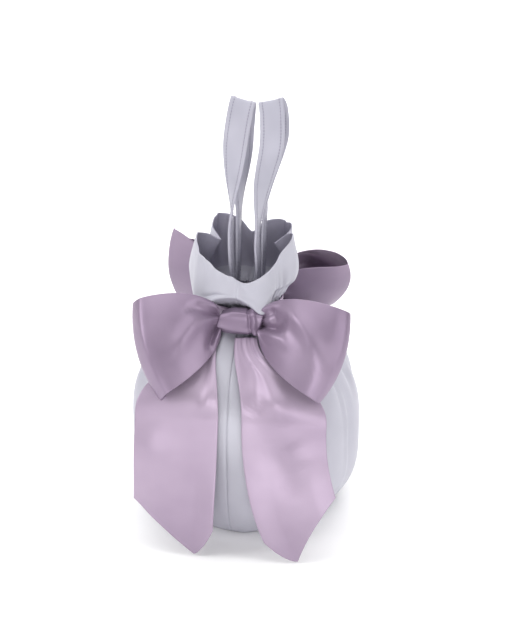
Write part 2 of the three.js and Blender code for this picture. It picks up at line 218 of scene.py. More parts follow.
def satin(name, dark, light, roughness, sheen, lustre, thread=0.22, slub=0.25):
    """Satin weave: a soft colour drift, fine floats along the cloth, and slight creasing."""
    material, nodes, links, shader = new_material(name)
    place = nodes.new("ShaderNodeTexCoord")
    drift = nodes.new("ShaderNodeTexNoise")
    drift.inputs["Scale"].default_value = 14
    drift.inputs["Detail"].default_value = 3
    links.new(place.outputs["Object"], drift.inputs["Vector"])
    colour = nodes.new("ShaderNodeValToRGB")
    colour.color_ramp.elements[0].position = 0.3
    colour.color_ramp.elements[0].color = dark
    colour.color_ramp.elements[1].position = 0.7
    colour.color_ramp.elements[1].color = light
    links.new(drift.outputs["Fac"], colour.inputs["Fac"])
    links.new(colour.outputs["Color"], shader.inputs["Base Color"])

    cut = nodes.new("ShaderNodeUVMap")
    cut.uv_map = "cut"
    floats = nodes.new("ShaderNodeMapping")
    floats.inputs["Scale"].default_value = (1 / (thread * MM), 0.16 / (thread * MM), 1)
    links.new(cut.outputs["UV"], floats.inputs["Vector"])
    weave = nodes.new("ShaderNodeTexNoise")
    weave.inputs["Scale"].default_value = 1
    weave.inputs["Detail"].default_value = 2
    links.new(floats.outputs["Vector"], weave.inputs["Vector"])
    crease = nodes.new("ShaderNodeTexNoise")
    crease.inputs["Scale"].default_value = 85
    crease.inputs["Detail"].default_value = 2
    links.new(place.outputs["Object"], crease.inputs["Vector"])
    fine = nodes.new("ShaderNodeBump")
    fine.inputs["Strength"].default_value = 0.12
    fine.inputs["Distance"].default_value = 0.06 * MM
    links.new(weave.outputs["Fac"], fine.inputs["Height"])
    soft = nodes.new("ShaderNodeBump")
    soft.inputs["Strength"].default_value = slub
    soft.inputs["Distance"].default_value = 0.7 * MM
    links.new(crease.outputs["Fac"], soft.inputs["Height"])
    links.new(fine.outputs["Normal"], soft.inputs["Normal"])
    links.new(soft.outputs["Normal"], shader.inputs["Normal"])

    gloss = nodes.new("ShaderNodeMapRange")
    gloss.inputs["To Min"].default_value = roughness - 0.05
    gloss.inputs["To Max"].default_value = roughness + 0.07
    links.new(weave.outputs["Fac"], gloss.inputs["Value"])
    links.new(gloss.outputs["Result"], shader.inputs["Roughness"])
    shader.inputs["Metallic"].default_value = lustre
    shader.inputs["Anisotropic"].default_value = 0.35
    shader.inputs["Sheen Weight"].default_value = sheen
    shader.inputs["Sheen Roughness"].default_value = 0.35
    shader.inputs["Sheen Tint"].default_value = light
    return material


def grained(name, dark, light, roughness, scale):
    """A matt material with a fine speckle, for board and elastic."""
    material, nodes, links, shader = new_material(name)
    place = nodes.new("ShaderNodeTexCoord")
    speckle = nodes.new("ShaderNodeTexNoise")
    speckle.inputs["Scale"].default_value = scale
    speckle.inputs["Detail"].default_value = 5
    links.new(place.outputs["Object"], speckle.inputs["Vector"])
    colour = nodes.new("ShaderNodeValToRGB")
    colour.color_ramp.elements[0].color = dark
    colour.color_ramp.elements[1].color = light
    links.new(speckle.outputs["Fac"], colour.inputs["Fac"])
    links.new(colour.outputs["Color"], shader.inputs["Base Color"])
    raised = nodes.new("ShaderNodeBump")
    raised.inputs["Strength"].default_value = 0.3
    raised.inputs["Distance"].default_value = 0.2 * MM
    links.new(speckle.outputs["Fac"], raised.inputs["Height"])
    links.new(raised.outputs["Normal"], shader.inputs["Normal"])
    shader.inputs["Roughness"].default_value = roughness
    return material


SATIN = satin("satin", linear(170, 169, 180), linear(186, 185, 195), 0.48, 0.12, 0.12)
STRAP = satin("strap_satin", linear(158, 157, 170), linear(176, 174, 186), 0.5, 0.12, 0.12)
LINING = satin("lining_cloth", linear(126, 124, 138), linear(146, 144, 158), 0.55, 0.1, 0.1)
# The collar's inside faces get a darker copy of the satin: painted shade for the inside of the ruffle.
COLLAR_INSIDE_PAINTED_SHADE = satin("collar_inside_painted_shade", linear(150, 147, 163), linear(170, 167, 181), 0.5, 0.1, 0.1)
RIBBON_SATIN = satin("ribbon_satin", linear(154, 137, 158), linear(171, 154, 174),
                     0.42, 0.1, 0.35, slub=0.12)
# The loops and knots are the same ribbon with a darker base colour: painted shade, set to match their tone.
LOOP_SATIN_PAINTED_SHADE = satin("ribbon_satin_painted_shade", linear(132, 115, 137), linear(151, 134, 155),
                   0.4, 0.1, 0.4, slub=0.12)
THREAD = grained("thread", linear(112, 109, 126), linear(140, 137, 152), 0.7, 3000)
BOARD = grained("bag_board", linear(176, 170, 158), linear(198, 192, 180), 0.9, 400)
ELASTIC = grained("covered_elastic", linear(214, 214, 216), linear(238, 238, 240), 0.8, 2500)


# ---- Body ----
def make_profile():
    """The body's outline as radius and height, evenly spaced along its length, as in the CAD."""
    t = np.linspace(0, 1, 200)
    base = bezier([(BASE, 0), (mix(BASE, BELLY, CURVE_EASE), 0.2 * BELLY_LOW),
                   (BELLY, 0.6 * BELLY_LOW), (BELLY, BELLY_LOW)], t)
    shoulder = bezier([(BELLY, BELLY_HIGH), (BELLY, mix(BELLY_HIGH, NECK_LOW, CURVE_EASE)),
                       (mix(NECK, BELLY, SHOULDER_HOLLOW),
                        mix(BELLY_HIGH, NECK_LOW, 0.8)), (NECK, NECK_LOW)], t)
    line = np.concatenate([base, shoulder, [(NECK, NECK_TOP)]])
    run = np.concatenate([[0], np.cumsum(np.linalg.norm(np.diff(line, axis=0), axis=1))])
    even = np.linspace(0, run[-1], 600)
    return np.stack([np.interp(even, run, line[:, 0]), np.interp(even, run, line[:, 1])], -1)


PROFILE = make_profile()


def radius_at(height):
    return np.interp(height, PROFILE[:, 1], PROFILE[:, 0])


def plan_factor(angle, height):
    """The body's plan: a soft diamond low down, turned a little, and round above."""
    angle = angle - BASE_TURN
    round_off = ease(height, 0, ROUND_HEIGHT)
    power, depth = mix(BASE_SQUARENESS, 2, round_off), mix(BASE_DEPTH, 1, round_off)
    across = np.abs(np.cos(angle)) ** power
    deep = np.abs(np.sin(angle) / depth) ** power
    return (across + deep) ** (-1 / power)


def body_folds(angle, height):
    """How far gathers and soft folds lift the body cloth, in millimetres."""
    wander = angle + 0.12 * np.sin(3 * angle + 0.6) + 0.06 * np.sin(7 * angle + 2)
    gathers = np.sin(34 * wander) * 1.5 * ease(height, 140, 184)
    shoulder = ease(height, 84, 160) * (1 - 0.6 * ease(height, 172, 190))
    folds = np.sin(15 * wander + 1.1 * np.sin(2 * angle)) * 3.0 * shoulder
    belly = ease(height, 16, 80) * (1 - ease(height, 115, 165))
    broad = np.sin(9 * wander + 0.02 * height) * 1.2 * belly
    # Two firm folds run down the right side.
    side_fold = belly * (1.8 * bump(angle, -0.36, 0.035) - 1.2 * bump(angle, -0.28, 0.05))
    side_fold += belly * (1.5 * bump(angle, 0.1, 0.05) - 1.5 * bump(angle, 0.22, 0.05))
    seam = -0.5 * bump(np.cos(angle) * radius_at(height), 0, 0.9)
    return gathers + folds + broad + side_fold + seam + 0.6 * shoulder


def body_panel(side):
    s, w = grid(150, 220)
    index = s * (len(PROFILE) - 1)
    steps = np.arange(len(PROFILE))
    radius = np.interp(index, steps, PROFILE[:, 0])
    height = np.interp(index, steps, PROFILE[:, 1])
    slope = np.gradient(PROFILE, axis=0)
    slope /= np.linalg.norm(slope, axis=1)[:, None]
    rise = np.interp(index, steps, slope[:, 1])
    run = np.interp(index, steps, slope[:, 0])
    seam = 0.12 / radius
    quarter = math.pi / 2
    angle = (0 if side > 0 else math.pi) + mix(-quarter + seam, quarter - seam, w)
    angle = (angle + math.pi) % (2 * math.pi) - math.pi
    lift = body_folds(angle, height) - PANEL_WALL / 2
    reach = (radius + lift * rise) * plan_factor(angle, height)
    points = np.stack([reach * np.cos(angle), reach * np.sin(angle), height - lift * run], -1)
    points[..., 2] = np.maximum(points[..., 2], 0.5)
    name = "outer_panel_" + ("right" if side > 0 else "left")
    piece = cloth("satin_" + name, points, 1.0, SATIN)
    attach(piece, "bag")
    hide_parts(name)


def lining_half(side):
    s, w = grid(110, 180)
    steps = np.arange(len(PROFILE))
    index = mix(0.045, 1, s) * (len(PROFILE) - 1)
    radius = np.interp(index, steps, PROFILE[:, 0])
    height = np.interp(index, steps, PROFILE[:, 1])
    quarter = math.pi / 2
    seam = 0.4 / radius
    angle = (0 if side > 0 else math.pi) + mix(-quarter + seam, quarter - seam, w)
    inset = 3.4 + 2 * ease(height, 160, 186)
    turned_in = np.minimum(body_folds((angle + math.pi) % (2 * math.pi) - math.pi, height), 0)
    reach = (radius - inset + turned_in) * plan_factor(angle, height)
    points = np.stack([reach * np.cos(angle), reach * np.sin(angle), height], -1)
    word = "right" if side > 0 else "left"
    piece = cloth("lining_cloth_" + word, points, 0.7, LINING)
    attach(piece, "bag")
    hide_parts("lining_" + word)


def round_panel(name, node, inset, height, thickness, material):
    """A flat panel of the base's outline, as a slightly loose sheet."""
    s, w = grid(40, 121)
    angle = w * 2 * math.pi
    reach = (BASE - inset) * plan_factor(angle, 0 * angle) * mix(0.001, 1, s)
    loose = 0.12 * thickness * np.sin(5 * angle) * s * (1 - s)
    points = np.stack([reach * np.cos(angle), reach * np.sin(angle), height + loose], -1)
    normal = np.array([0, 0, 1.0])
    half = thickness / 2
    rows, columns = s.shape
    ring = columns - 1
    vertices, faces = [], []
    layers = [points + normal * half, points - normal * half]
    for layer in layers:
        vertices.append(layer[1:, :-1].reshape(-1, 3))
        vertices.append(layer[:1, 0])
    vertices = np.concatenate(vertices) * MM
    stride = (rows - 1) * ring + 1
    for k in range(2):
        start = k * stride
        for j in range(ring):
            n = (j + 1) % ring
            tri = [start + stride - 1, start + j, start + n]
            faces.append(tri if k == 0 else tri[::-1])
            for i in range(rows - 2):
                quad = [start + i * ring + j, start + (i + 1) * ring + j,
                        start + (i + 1) * ring + n, start + i * ring + n]
                faces.append(quad if k == 0 else quad[::-1])
    last = (rows - 2) * ring
    for j in range(ring):
        n = (j + 1) % ring
        faces.append([last + j, stride + last + j, stride + last + n, last + n])
    mesh = bpy.data.meshes.new(name)
    mesh.from_pydata(vertices.tolist(), [], faces)
    layer = mesh.uv_layers.new(name="cut")
    for loop in mesh.loops:
        layer.data[loop.index].uv = vertices[loop.vertex_index][:2]
    mesh.materials.append(material)
    piece = bpy.data.objects.new(name, mesh)
    bpy.context.scene.collection.objects.link(piece)
    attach(piece, "bag")
    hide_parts(node)


# ---- Collar ----
# The ruffle's shape at places round it: the place in degrees from the front towards the right,
# then radius and height of its drooping lower corner, of its middle and of its rim. It stands in
# two lobes on each side, with a deep fold between them.
COLLAR = np.array([
    (-180, 38, 203, 42, 222, 36, 241),
    (-161, 41, 201, 46, 226, 42, 251),
    (-141, 42, 200, 48, 228, 46, 256),
    (-121, 40, 200, 43, 226, 37, 250),
    (-108, 39, 201, 36, 222, 26, 240),
    (-96, 39, 202, 43, 223, 35, 247),
    (-84, 41, 203, 48, 223, 41, 251),
    (-71, 43, 203, 49, 222, 43, 251),
    (-56, 47, 200, 49, 216, 45, 246),
    (-42, 53, 199, 51, 212, 46, 239),
    (-32, 56, 200, 51, 212, 45, 234),
    (-20, 50, 206, 50, 214, 45, 230),
    (0, 48, 208, 48, 213, 44, 223),
    (13, 50, 203, 49, 210, 45, 221),
    (24, 56, 197, 51, 208, 45, 224),
    (32, 51, 204, 49, 213, 44, 228),
    (42, 41, 209, 45, 218, 44, 234),
    (55, 38, 208, 44, 221, 43, 243),
    (70, 38, 208, 47, 226, 43, 251),
    (84, 38, 206, 47, 228, 42, 254),
    (96, 37, 204, 42, 226, 35, 249),
    (107, 37, 203, 36, 224, 27, 241),
    (121, 40, 201, 43, 226, 42, 250),
    (141, 42, 200, 46, 226, 46, 252),
    (161, 41, 201, 45, 225, 42, 249),
])


def round_spline(values, at):
    """The collar's values at places round it, on a smooth closed curve."""
    places = COLLAR[:, 0]
    places = np.concatenate([places - 360, places, places + 360])
    values = np.concatenate([values, values, values])
    i = np.clip(np.searchsorted(places, at, side="right") - 1, 1, len(places) - 3)
    gap = places[i + 1] - places[i]
    t = (at - places[i]) / gap

    def slope(k):
        return (values[k + 1] - values[k - 1]) / (places[k + 1] - places[k - 1]) * gap

    return (values[i] * (2 * t ** 3 - 3 * t ** 2 + 1) + slope(i) * (t ** 3 - 2 * t ** 2 + t)
            + values[i + 1] * (3 * t ** 2 - 2 * t ** 3) + slope(i + 1) * (t ** 3 - t ** 2))


def through(stops, values, at):
    """A smooth curve through values at stops, for a whole grid of curves at once."""
    result = np.zeros_like(at)
    for k in range(len(stops) - 1):
        before, after = max(k - 1, 0), min(k + 2, len(stops) - 1)
        gap = stops[k + 1] - stops[k]
        first = (values[k + 1] - values[before]) / (stops[k + 1] - stops[before]) * gap
        last = (values[after] - values[k]) / (stops[after] - stops[k]) * gap
        t = (at - stops[k]) / gap
        curve = (values[k] * (2 * t ** 3 - 3 * t ** 2 + 1) + first * (t ** 3 - 2 * t ** 2 + t)
                 + values[k + 1] * (3 * t ** 2 - 2 * t ** 3) + last * (t ** 3 - t ** 2))
        here = (at >= stops[k]) & (at <= stops[k + 1])
        result = np.where(here, curve, result)
    return result


def collar_half(side):
    s, w = grid(110, 260)
    place = mix(0.12, 179.88, w) * side
    low_r, low_z, middle_r, middle_z, rim_r, rim_z = (
        round_spline(COLLAR[:, k], place) for k in range(1, 7))
    neck_r, neck_z = NECK - 0.5, NECK_TOP + 1
    under_r, under_z = mix(neck_r, low_r, 0.55), mix(neck_z, low_z, 0.4)
    radii = [neck_r + 0 * s, under_r, low_r, mix(low_r, middle_r, 0.55) + 1.5, middle_r, rim_r]
    heights = [neck_z + 0 * s, under_z, low_z, mix(low_z, middle_z, 0.35), middle_z, rim_z]
    stops = [0, 0.17, 0.34, 0.44, 0.62, 1]
    radius, height = through(stops, radii, s), through(stops, heights, s)
    turn = np.radians(place)
    wander = turn + 0.1 * np.sin(3 * turn + 1) + 0.05 * np.sin(8 * turn)
    gathers = np.sin(30 * wander) * 1.5 * (1 - ease(s, 0.05, 0.36))
    quiet = 1 - 0.85 * bump(place, -22, 38)
    folds = np.sin(12 * wander + 0.8) * 1.2 * ease(s, 0.3, 0.6) * quiet
    creases = np.sin(58 * wander) * 0.4 * bump(place, 55, 24) * (1 - ease(s, 0.45, 0.95))
    dent = -2.4 * bump(place, -24, 13) * bump(s, 0.5, 0.07)
    ripple = np.sin(25 * wander) * 0.4 * ease(s, 0.75, 1)
    radius = radius + gathers + folds + creases + dent + ripple
    height = height + np.sin(11 * wander + 2) * 0.8 * ease(s, 0.6, 1)
    x = radius * np.sin(turn)
    x = np.where(np.abs(x) < 0.12, 0.12 * side, x)
    seam = 0.5 * bump(x, 0, 1.2)
    points = np.stack([x, -(radius - seam) * np.cos(turn), height], -1)
    word = "right" if side > 0 else "left"
    piece = cloth("ruffle_collar_" + word, points, 1.2, SATIN, flip=side > 0)
    # Inward-facing faces high on the collar take the darker copy, painted shade.
    piece.data.materials.append(COLLAR_INSIDE_PAINTED_SHADE)
    for face in piece.data.polygons:
        if face.normal.x * face.center.x + face.normal.y * face.center.y < 0 and face.center.z > 0.206:
            face.material_index = 1
    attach(piece, "bag")
    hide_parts("collar_" + word)


# ---- Strap handles ----
def catmull(points, count):
    """Evenly spaced points on a smooth curve through the given ones."""
    p = np.asarray(points, float)
    p = np.concatenate([[2 * p[0] - p[1]], p, [2 * p[-1] - p[-2]]])
    t = np.linspace(0, 1, 60, endpoint=False)[:, None]
    pieces = []
    for a, b, c, d in zip(p, p[1:], p[2:], p[3:]):
        pieces.append(0.5 * (2 * b + (c - a) * t + (2 * a - 5 * b + 4 * c - d) * t ** 2
                             + (3 * b - a - 3 * c + d) * t ** 3))
    line = np.concatenate(pieces + [p[-2:-1]])
    run = np.concatenate([[0], np.cumsum(np.linalg.norm(np.diff(line, axis=0), axis=1))])
    even = np.linspace(0, run[-1], count)
    return np.stack([np.interp(even, run, line[:, k]) for k in range(3)], -1), run[-1]


PIVOT = joint_place("handle_left_swing")[2]


def handle(side):
    word = "right" if side > 0 else "left"
    foot = joint_place(f"handle_{word}_swing")[0]
    low, high = corner(f"handle_{word}_loop", False), corner(f"handle_{word}_loop", True)
    spread = (high[1] - low[1]) / 2 - STRAP_WIDTH / 2 - 0.6
    top = foot + side * 0.5 + STRAP_LEAN
    rise = HANDLE_TOP - PIVOT
    bow = 3.8 if side > 0 else 2.5
    sewn = max(-corner(f"handle_{word}_front_end", True)[1], 2) + 7
    front = [(foot, -sewn, STRAP_SEWN), (foot, -sewn, NECK_TOP + 2), (foot, -mix(sewn, spread,
        0.6), 228),
             (foot, -spread, PIVOT),
             (mix(foot, top, 0.3) + 0.4 * side * bow, -spread, PIVOT + 0.36 * rise),
             (mix(foot, top, 0.8) + 1.2 * side * bow, -0.8 * spread, PIVOT + 0.68 * rise),
             (top + 0.7 * side * bow, -0.48 * spread, PIVOT + 0.9 * rise)]
    back = [(x, -y, z) for x, y, z in reversed(front)]
    line, length = catmull(front + [(top, 0, HANDLE_TOP)] + back, 320)
    turn = ease(line[:, 2], PIVOT + 2, mix(PIVOT, HANDLE_TOP, STRAP_TURNED))
    width = mix(STRAP_END_WIDTH, STRAP_WIDTH, ease(line[:, 2], STRAP_SEWN, PIVOT))
    leg = np.where(np.arange(len(line)) < len(line) / 2, 1, -1)
    twist = (1 - turn) * (math.pi / 2) * side * leg
    tilt = turn * STRAP_TILT * side
    across = unit(np.stack([np.cos(twist) * np.cos(tilt), np.sin(twist),
                            np.cos(twist) * np.sin(tilt)], -1))
    w = np.linspace(-0.5, 0.5, 13)
    points = line[:, None] + across[:, None] * (w[None, :, None] * width[:, None, None])
    normal = grid_normals(points)
    cup = 0.7 * (1 - (2 * w) ** 2)[None, :, None] * np.ones((len(line), 1, 1))
    points = points + normal * (cup - 0.35)
    piece = cloth(f"strap_handle_{word}", points, 1.9, STRAP)
    add_stitches(piece, points, length)
    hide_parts(f"handle_{word}_loop", f"handle_{word}_front_end", f"handle_{word}_back_end")
    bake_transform(piece)


def add_stitches(piece, points, length):
    """Topstitching along both edges of a strap, on both faces, as short raised threads."""
    normal = grid_normals(points)
    rows, columns = points.shape[:2]
    pitch, stitch = 2.6, 1.7
    count = int(length / pitch)
    vertices, faces = [], []
    for column in (1.6, columns - 2.6):
        j = int(column)
        blend_in = column - j
        path = mix(points[:, j], points[:, j + 1], blend_in)
        out = unit(mix(normal[:, j], normal[:, j + 1], blend_in))
        for face in (1, -1):
            for k in range(1, count):
                at = k * pitch / length * (rows - 1)
                i = min(int(at), rows - 2)
                centre = mix(path[i], path[i + 1], at - i)
                ahead = unit(path[i + 1] - path[i])
                up = out[i] * face
                sideways = np.cross(ahead, up)
                middle = centre + up * 0.95
                base = len(vertices)
                for end in (-1, -0.5, 0.5, 1):
                    thick = 0.16 if abs(end) == 1 else 0.36
                    lift = -0.1 if abs(end) == 1 else 0.12
                    at_end = middle + ahead * end * stitch / 2 + up * lift
                    vertices += [at_end + sideways * thick, at_end + up * thick,
                                 at_end - sideways * thick, at_end - up * thick]
                for ring in range(3):
                    for q in range(4):
                        a = base + ring * 4 + q
                        b = base + ring * 4 + (q + 1) % 4
                        faces.append([a, a + 4, b + 4, b])
                faces.append([base, base + 1, base + 2, base + 3])
                faces.append([base + 15, base + 14, base + 13, base + 12])
    threads = bpy.data.meshes.new("threads")
    threads.from_pydata((np.array(vertices) * MM).tolist(), [], faces)
    threads.materials.append(THREAD)
    loose = bpy.data.objects.new("threads", threads)
    bpy.context.scene.collection.objects.link(loose)
    threads.uv_layers.new(name="cut")
    with bpy.context.temp_override(active_object=piece, selected_editable_objects=[piece, loose],
                                   selected_objects=[piece, loose], object=piece):
        bpy.ops.object.join()


# ---- Bows ----
def clear_of_body(points, offset):
    """Moves points out from the bag's axis until they clear the body by an offset."""
    radius = np.hypot(points[..., 0], points[..., 1])
    least = radius_at(np.clip(points[..., 2], 0, NECK_TOP)) + offset
    push = np.maximum(least / np.maximum(radius, 1e-6), 1)
    points[..., 0] *= push
    points[..., 1] *= push
    return points


def turned(points, back):
    """A front bow's points, turned half round the bag for the back bow."""
    return points * np.array([-1, -1, 1]) if back else points


def marks_lift(along, across, marks):
    """The lift of listed folds. Each mark is a line of (along, across) points in millimetres,
    a width, a height (below 0 for a hollow), and how it fades: "far" at its last point, or "both"."""
    lift = np.zeros_like(along)
    for line, width, height, fade in marks:
        path, _ = catmull([(a, c, 0) for a, c in line], 40)
        gap = np.hypot(along[..., None] - path[:, 0], across[..., None] - path[:, 1])
        nearest = gap.argmin(-1) / (len(path) - 1)
        strength = 1 - ease(nearest, 0.45, 1)
        if fade == "both":
            strength = np.minimum(ease(nearest, 0, 0.4), 1 - ease(nearest, 0.6, 1)) * 0.85 + 0.15
        lift += height * strength * np.exp(-((gap.min(-1) / width) ** 2))
    return lift


# A loop's plan from the knot round its outer fold and back: the share of the ribbon's run, the
# share of the way out, and how far the cloth stands off in millimetres.
ROUND_LOOP = [(0, 0, 3), (0.06, 0.05, 6), (0.16, 0.28, 15), (0.28, 0.6, 19), (0.39, 0.86, 14),
              (0.455, 0.975, 6), (0.49, 1, 0), (0.53, 0.985, -4), (0.62, 0.8, -7),
              (0.8, 0.4, -6), (0.94, 0.08, -4), (1, 0, -3)]
CREASED_LOOP = [(0, 0, 3), (0.06, 0.05, 6), (0.16, 0.28, 14), (0.28, 0.58, 19), (0.38, 0.82, 19),
                (0.42, 0.915, 17), (0.44, 0.945, 14.5), (0.49, 0.995, 5), (0.51, 1, 1),
                (0.54, 0.985, -3), (0.62, 0.8, -6), (0.8, 0.4, -6), (0.94, 0.08, -4), (1, 0, -3)]
FLAT_LOOP = [(0, 0, 3), (0.06, 0.05, 5), (0.2, 0.35, 9), (0.32, 0.65, 9), (0.42, 0.9, 5),
             (0.48, 0.99, 1), (0.52, 1, -2), (0.56, 0.96, -4), (0.7, 0.65, -6), (0.86, 0.25, -5), (1, 0, -3)]


LOOP_CROWN = 3.0  # how far a loop's upper edge arches
LOOP_BOW = 8.0  # how far its outer fold bows outwards


def bow_loop(name, node, side, top, bottom, back, plan, marks, inner_top=0.0):
    """A loop: out from the knot in front, round the outer fold and back behind."""
    s, w = grid(260, 90)
    shift = 0 if back else 3
    start = np.array([side * 18 + shift, -KNOT_REACH, KNOT_HEIGHT])
    top, bottom = np.array(top, float), np.array(bottom, float)
    half_fold = (top - bottom) / 2
    fold = bottom + half_fold
    outward = unit(np.cross(fold - start, half_fold))
    if outward[1] > 0:
        outward = -outward
    stops = [stop for stop, _, _ in plan]
    out = np.clip(through(stops, [share for _, share, _ in plan], s), 0, 1)
    stand = through(stops, [off for _, _, off in plan], s)
    v = 2 * w - 1
    is_front = ease(0.5 - s, -0.02, 0.02)
    # The ribbon widens fast below the knot and slower above it.
    opening = np.where(v > 0, out ** 0.62, out ** 0.5)
    half = np.array([0, 0, 1.0]) * (9 * (1 - opening))[..., None] + half_fold * opening[..., None]
    centre = start + (fold - start) * out[..., None]
    # The outer fold bows outwards between its corners.
    centre = centre + unit(fold - start) * (LOOP_BOW * (1 - v ** 2) * out ** 2)[..., None]
    along = out * np.linalg.norm(fold - start)
    across = v * np.linalg.norm(half, axis=-1)
    lift = marks_lift(along, across, marks) * is_front
    pleats = np.zeros_like(s)
    for k, place in enumerate((-0.75, -0.35, 0.05, 0.4, 0.78)):
        deep = (2.6, -2.2, 2.4, -2.4, 2.2)[k]
        pleats += deep * bump(v, place, 0.14) * (1 - ease(out, 0.03, 0.3)) * ease(out, 0, 0.03)
    lift += pleats * mix(0.6, 1, is_front)
    stand = stand * (1 - 0.25 * v ** 2)
    points = centre + half * v[..., None] + outward * (stand + lift)[..., None]
    arch = np.sin(math.pi * out ** 0.8)
    points[..., 2] += LOOP_CROWN * arch * ease(v, -0.2, 1) - 4 * arch * ease(-v, -0.2, 1)
    points[..., 2] += inner_top * (1 - is_front) * ease(v, 0, 1) * ease(out, 0.2, 1)
    points = clear_of_body(points, 9.5 + 2.5 * np.cos(math.pi * s))
    points = soften(points, 2)
    # The loop takes the ribbon's darker copy, which is painted shade.
    piece = cloth(name, turned(points, back), 0.8, LOOP_SATIN_PAINTED_SHADE)
    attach(piece, "bag")
    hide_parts(node)


def bow_knot(name, node, back):
    """The wrap that pinches a bow: ribbon drawn round it, with creases along it."""
    s, w = grid(90, 140)
    around = 2 * math.pi * w
    x = (s - 0.5) * (KNOT_HIGH[0] - KNOT_LOW[0])
    half_height = (KNOT_HIGH[2] - KNOT_LOW[2]) / 2
    half_depth = (KNOT_HIGH[1] - KNOT_LOW[1]) / 2
    end = np.abs(2 * s - 1)
    waist = (1 - 0.1 * end ** 2) * (1 - ease(end, 0.93, 1) * 0.3)
    pinch = 1 - 0.25 * ease(1 - s, 0.7, 1)
    crease = 0.8 * np.sin(5 * around + 0.07 * x) + 0.45 * np.sin(9 * around + 0.12 * x + 1)
    crease = crease * (0.35 + 0.65 * end)
    # A fold of the wrap stands up across its right end.
    fold = (1.6 * bump(x + 0.45 * half_height * np.cos(around), 13, 2.2)
            - 1.2 * bump(x + 5 * np.cos(around), 9, 1.3))
    c, d = np.cos(around), np.sin(around)
    reach = 0.6 * crease + fold - 1
    z = np.sign(c) * np.abs(c) ** 0.7 * (half_height * waist * pinch + reach)
    y = np.sign(d) * np.abs(d) ** 0.7 * (half_depth * waist + reach)
    shift = 0 if back else 3
    points = np.stack([x + 0.3 * z + shift, -KNOT_REACH + y, KNOT_HEIGHT + z], -1)
    tube(name, node, turned(points, back))


def tube(name, node, points):
    """A closed tube round a grid whose last column meets its first, capped at both ends."""
    rows, columns = points.shape[:2]
    ring = columns - 1
    body = points[:, :-1].reshape(-1, 3)
    ends = np.array([points[0, :-1].mean(0), points[-1, :-1].mean(0)])
    vertices = np.concatenate([body, ends])
    faces = []
    for j in range(ring):
        n = (j + 1) % ring
        for i in range(rows - 1):
            faces.append([i * ring + j, (i + 1) * ring + j, (i + 1) * ring + n, i * ring + n])
        faces.append([len(body), j, n])
        faces.append([len(body) + 1, (rows - 1) * ring + n, (rows - 1) * ring + j])
    mesh = bpy.data.meshes.new(name)
    mesh.from_pydata((vertices * MM).tolist(), [], faces)
    layer = mesh.uv_layers.new(name="cut")
    for loop in mesh.loops:
        i, j = divmod(loop.vertex_index, ring)
        layer.data[loop.index].uv = (i / rows * 0.04, j / ring * 0.07)
    mesh.polygons.foreach_set("use_smooth", [True] * len(mesh.polygons))
    # The knot wrap takes the ribbon's darker copy, which is painted shade.
    mesh.materials.append(LOOP_SATIN_PAINTED_SHADE)
    mesh.validate()
    work = bmesh.new()
    work.from_mesh(mesh)
    bmesh.ops.recalc_face_normals(work, faces=work.faces)
    work.to_mesh(mesh)
    work.free()
    piece = bpy.data.objects.new(name, mesh)
    bpy.context.scene.collection.objects.link(piece)
    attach(piece, "bag")
    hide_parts(node)


TAIL_LIFT = 5.5  # how far the upper tail stands off the shoulder
TAIL_FLARE = 18  # how far the lower end stands out past the hinge
CUT_RISE = 44  # from the tail's point up to its outer corner
INNER_RISE = 26  # from the point up to its inner corner
POINT_PLACE = 0.76  # the point's place across the tail, from its outer edge
GATHERED_HALF = 9  # half the width of a tail's gathered end


def shoulder_path(count):
    """Reach and height along the shoulder from under a knot down to the tails' hinge line."""
    keep = (PROFILE[:, 1] > HINGE_HEIGHT) & (PROFILE[:, 1] < KNOT_HEIGHT - 17)
    slope = unit(np.gradient(PROFILE, axis=0))
    raised = PROFILE + np.stack([slope[:, 1], -slope[:, 0]], -1) * TAIL_LIFT
    path = raised[keep][::-1]
    path[:, 0] += (1 - ease(path[:, 1], HINGE_HEIGHT, HINGE_HEIGHT + 40)) * (HINGE_REACH - path[-1, 0])
    path[:, 0] += 5.5 * bump(path[:, 1], HINGE_HEIGHT + 19, 14)
    stops = [(reach, height, 0) for reach, height in path[::12]] + [(HINGE_REACH, HINGE_HEIGHT, 0)]
    line, _ = catmull(stops, count)
    return line[:, 0], line[:, 1]


